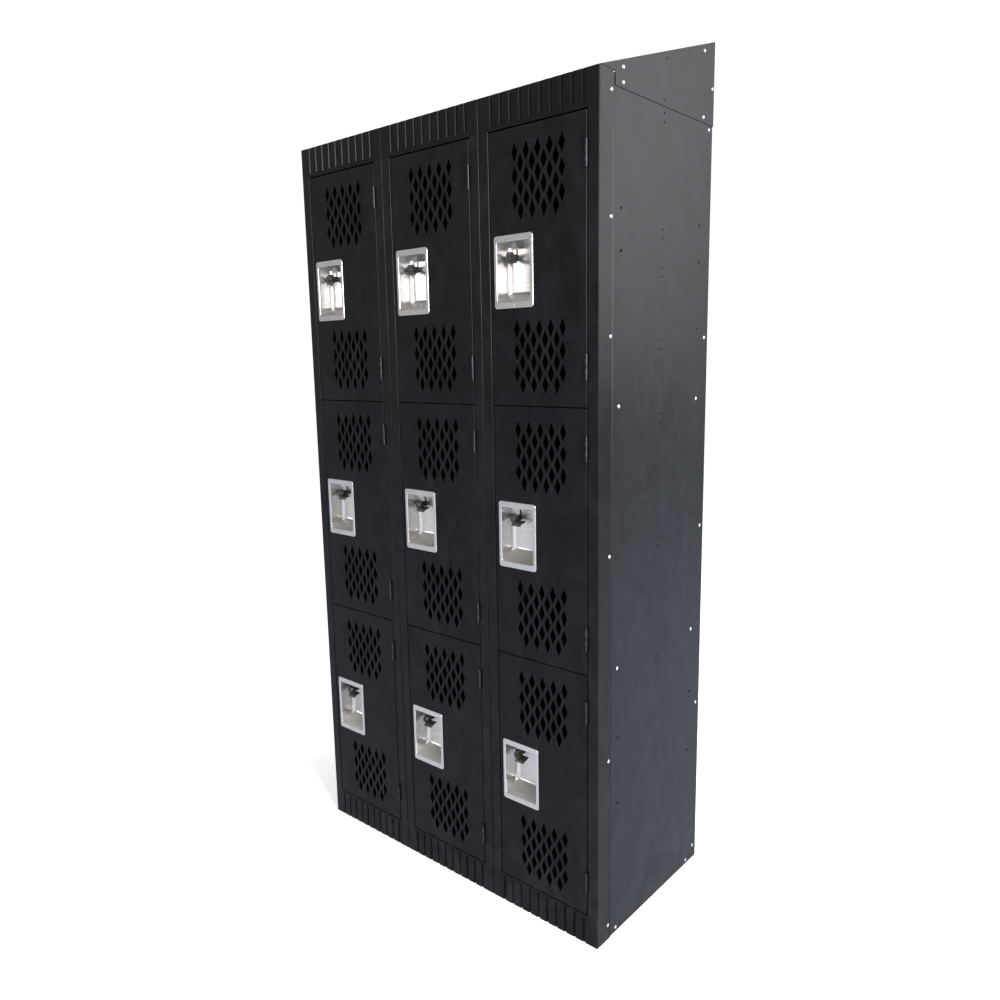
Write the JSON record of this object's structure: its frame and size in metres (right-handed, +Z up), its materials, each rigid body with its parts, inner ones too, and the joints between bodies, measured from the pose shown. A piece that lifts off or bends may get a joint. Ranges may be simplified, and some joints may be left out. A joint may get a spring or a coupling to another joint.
{
  "type": "locker cabinet",
  "caption": "Tall steel box locker bank with vented swing doors, recessed padlock latches, shelves, coat hooks and a sloped hood on a closed base.",
  "frame": {"origin": "on the floor below the middle of the whole bank", "axes": "+Z up, doors face -Y, +X to the right when looking at the doors"},
  "size_m": [0.9176, 0.463, 1.9812],
  "materials": {
    "cabinet_paint": "semi-gloss powder coat",
    "frame_paint": "semi-gloss powder coat",
    "door_paint": "semi-gloss powder coat",
    "cup_steel": "brushed",
    "black_hardware": "satin black",
    "rivet_steel": "bright",
    "hinge_paint": "semi-gloss powder coat",
    "hook_steel": "zinc plated",
    "silencer_rubber": "matte"
  },
  "bodies": {
    "carcass": {"side_panel_left": "cabinet_paint", "side_panel_right": "cabinet_paint", "partition_left": "cabinet_paint", "partition_right": "cabinet_paint", "back_panels": "cabinet_paint", "floor_pans": "cabinet_paint", "lower_shelves": "cabinet_paint", "upper_shelves": "cabinet_paint", "top_pans": "cabinet_paint", "front_uprights": "frame_paint", "cross_rails": "frame_paint", "headers": "frame_paint", "base_fronts": "frame_paint", "hood_sheet": "cabinet_paint", "hood_end_left": "cabinet_paint", "hood_end_right": "cabinet_paint", "hood_back": "cabinet_paint", "side_rivets": "rivet_steel", "frame_hinge_leaves": "hinge_paint", "hinge_pins": "hinge_paint", "latch_strikes": "black_hardware", "door_silencers": "silencer_rubber", "coat_hooks": "hook_steel"},
    "door_assembly_bottom_left": {"door_bottom_left": "door_paint", "handle_cup_bottom_left": "cup_steel", "padlock_staple_bottom_left": "black_hardware"},
    "latch_assembly_bottom_left": {"latch_lift_bottom_left": "black_hardware"},
    "door_assembly_middle_left": {"door_middle_left": "door_paint", "handle_cup_middle_left": "cup_steel", "padlock_staple_middle_left": "black_hardware"},
    "latch_assembly_middle_left": {"latch_lift_middle_left": "black_hardware"},
    "door_assembly_top_left": {"door_top_left": "door_paint", "handle_cup_top_left": "cup_steel", "padlock_staple_top_left": "black_hardware"},
    "latch_assembly_top_left": {"latch_lift_top_left": "black_hardware"},
    "door_assembly_bottom_middle": {"door_bottom_middle": "door_paint", "handle_cup_bottom_middle": "cup_steel", "padlock_staple_bottom_middle": "black_hardware"},
    "latch_assembly_bottom_middle": {"latch_lift_bottom_middle": "black_hardware"},
    "door_assembly_middle_middle": {"door_middle_middle": "door_paint", "handle_cup_middle_middle": "cup_steel", "padlock_staple_middle_middle": "black_hardware"},
    "latch_assembly_middle_middle": {"latch_lift_middle_middle": "black_hardware"},
    "door_assembly_top_middle": {"door_top_middle": "door_paint", "handle_cup_top_middle": "cup_steel", "padlock_staple_top_middle": "black_hardware"},
    "latch_assembly_top_middle": {"latch_lift_top_middle": "black_hardware"},
    "door_assembly_bottom_right": {"door_bottom_right": "door_paint", "handle_cup_bottom_right": "cup_steel", "padlock_staple_bottom_right": "black_hardware"},
    "latch_assembly_bottom_right": {"latch_lift_bottom_right": "black_hardware"},
    "door_assembly_middle_right": {"door_middle_right": "door_paint", "handle_cup_middle_right": "cup_steel", "padlock_staple_middle_right": "black_hardware"},
    "latch_assembly_middle_right": {"latch_lift_middle_right": "black_hardware"},
    "door_assembly_top_right": {"door_top_right": "door_paint", "handle_cup_top_right": "cup_steel", "padlock_staple_top_right": "black_hardware"},
    "latch_assembly_top_right": {"latch_lift_top_right": "black_hardware"}
  },
  "joints": [
    {"name": "door_hinge_bottom_left", "type": "hinge", "parent": "carcass", "child": "door_assembly_bottom_left", "pos_m": [-0.18, -0.22875, 0.35137], "axis": [0, 0, 1], "range_deg": [0, 170]},
    {"name": "latch_slide_bottom_left", "type": "slide", "parent": "door_assembly_bottom_left", "child": "latch_assembly_bottom_left", "axis": [0, 0, 1], "range_m": [0, 0.01]},
    {"name": "door_hinge_middle_left", "type": "hinge", "parent": "carcass", "child": "door_assembly_middle_left", "pos_m": [-0.18, -0.22875, 0.9144], "axis": [0, 0, 1], "range_deg": [0, 170]},
    {"name": "latch_slide_middle_left", "type": "slide", "parent": "door_assembly_middle_left", "child": "latch_assembly_middle_left", "axis": [0, 0, 1], "range_m": [0, 0.01]},
    {"name": "door_hinge_top_left", "type": "hinge", "parent": "carcass", "child": "door_assembly_top_left", "pos_m": [-0.18, -0.22875, 1.47743], "axis": [0, 0, 1], "range_deg": [0, 170]},
    {"name": "latch_slide_top_left", "type": "slide", "parent": "door_assembly_top_left", "child": "latch_assembly_top_left", "axis": [0, 0, 1], "range_m": [0, 0.01]},
    {"name": "door_hinge_bottom_middle", "type": "hinge", "parent": "carcass", "child": "door_assembly_bottom_middle", "pos_m": [0.1248, -0.22875, 0.35137], "axis": [0, 0, 1], "range_deg": [0, 170]},
    {"name": "latch_slide_bottom_middle", "type": "slide", "parent": "door_assembly_bottom_middle", "child": "latch_assembly_bottom_middle", "axis": [0, 0, 1], "range_m": [0, 0.01]},
    {"name": "door_hinge_middle_middle", "type": "hinge", "parent": "carcass", "child": "door_assembly_middle_middle", "pos_m": [0.1248, -0.22875, 0.9144], "axis": [0, 0, 1], "range_deg": [0, 170]},
    {"name": "latch_slide_middle_middle", "type": "slide", "parent": "door_assembly_middle_middle", "child": "latch_assembly_middle_middle", "axis": [0, 0, 1], "range_m": [0, 0.01]},
    {"name": "door_hinge_top_middle", "type": "hinge", "parent": "carcass", "child": "door_assembly_top_middle", "pos_m": [0.1248, -0.22875, 1.47743], "axis": [0, 0, 1], "range_deg": [0, 170]},
    {"name": "latch_slide_top_middle", "type": "slide", "parent": "door_assembly_top_middle", "child": "latch_assembly_top_middle", "axis": [0, 0, 1], "range_m": [0, 0.01]},
    {"name": "door_hinge_bottom_right", "type": "hinge", "parent": "carcass", "child": "door_assembly_bottom_right", "pos_m": [0.4296, -0.22875, 0.35137], "axis": [0, 0, 1], "range_deg": [0, 170]},
    {"name": "latch_slide_bottom_right", "type": "slide", "parent": "door_assembly_bottom_right", "child": "latch_assembly_bottom_right", "axis": [0, 0, 1], "range_m": [0, 0.01]},
    {"name": "door_hinge_middle_right", "type": "hinge", "parent": "carcass", "child": "door_assembly_middle_right", "pos_m": [0.4296, -0.22875, 0.9144], "axis": [0, 0, 1], "range_deg": [0, 170]},
    {"name": "latch_slide_middle_right", "type": "slide", "parent": "door_assembly_middle_right", "child": "latch_assembly_middle_right", "axis": [0, 0, 1], "range_m": [0, 0.01]},
    {"name": "door_hinge_top_right", "type": "hinge", "parent": "carcass", "child": "door_assembly_top_right", "pos_m": [0.4296, -0.22875, 1.47743], "axis": [0, 0, 1], "range_deg": [0, 170]},
    {"name": "latch_slide_top_right", "type": "slide", "parent": "door_assembly_top_right", "child": "latch_assembly_top_right", "axis": [0, 0, 1], "range_m": [0, 0.01]}
  ]
}
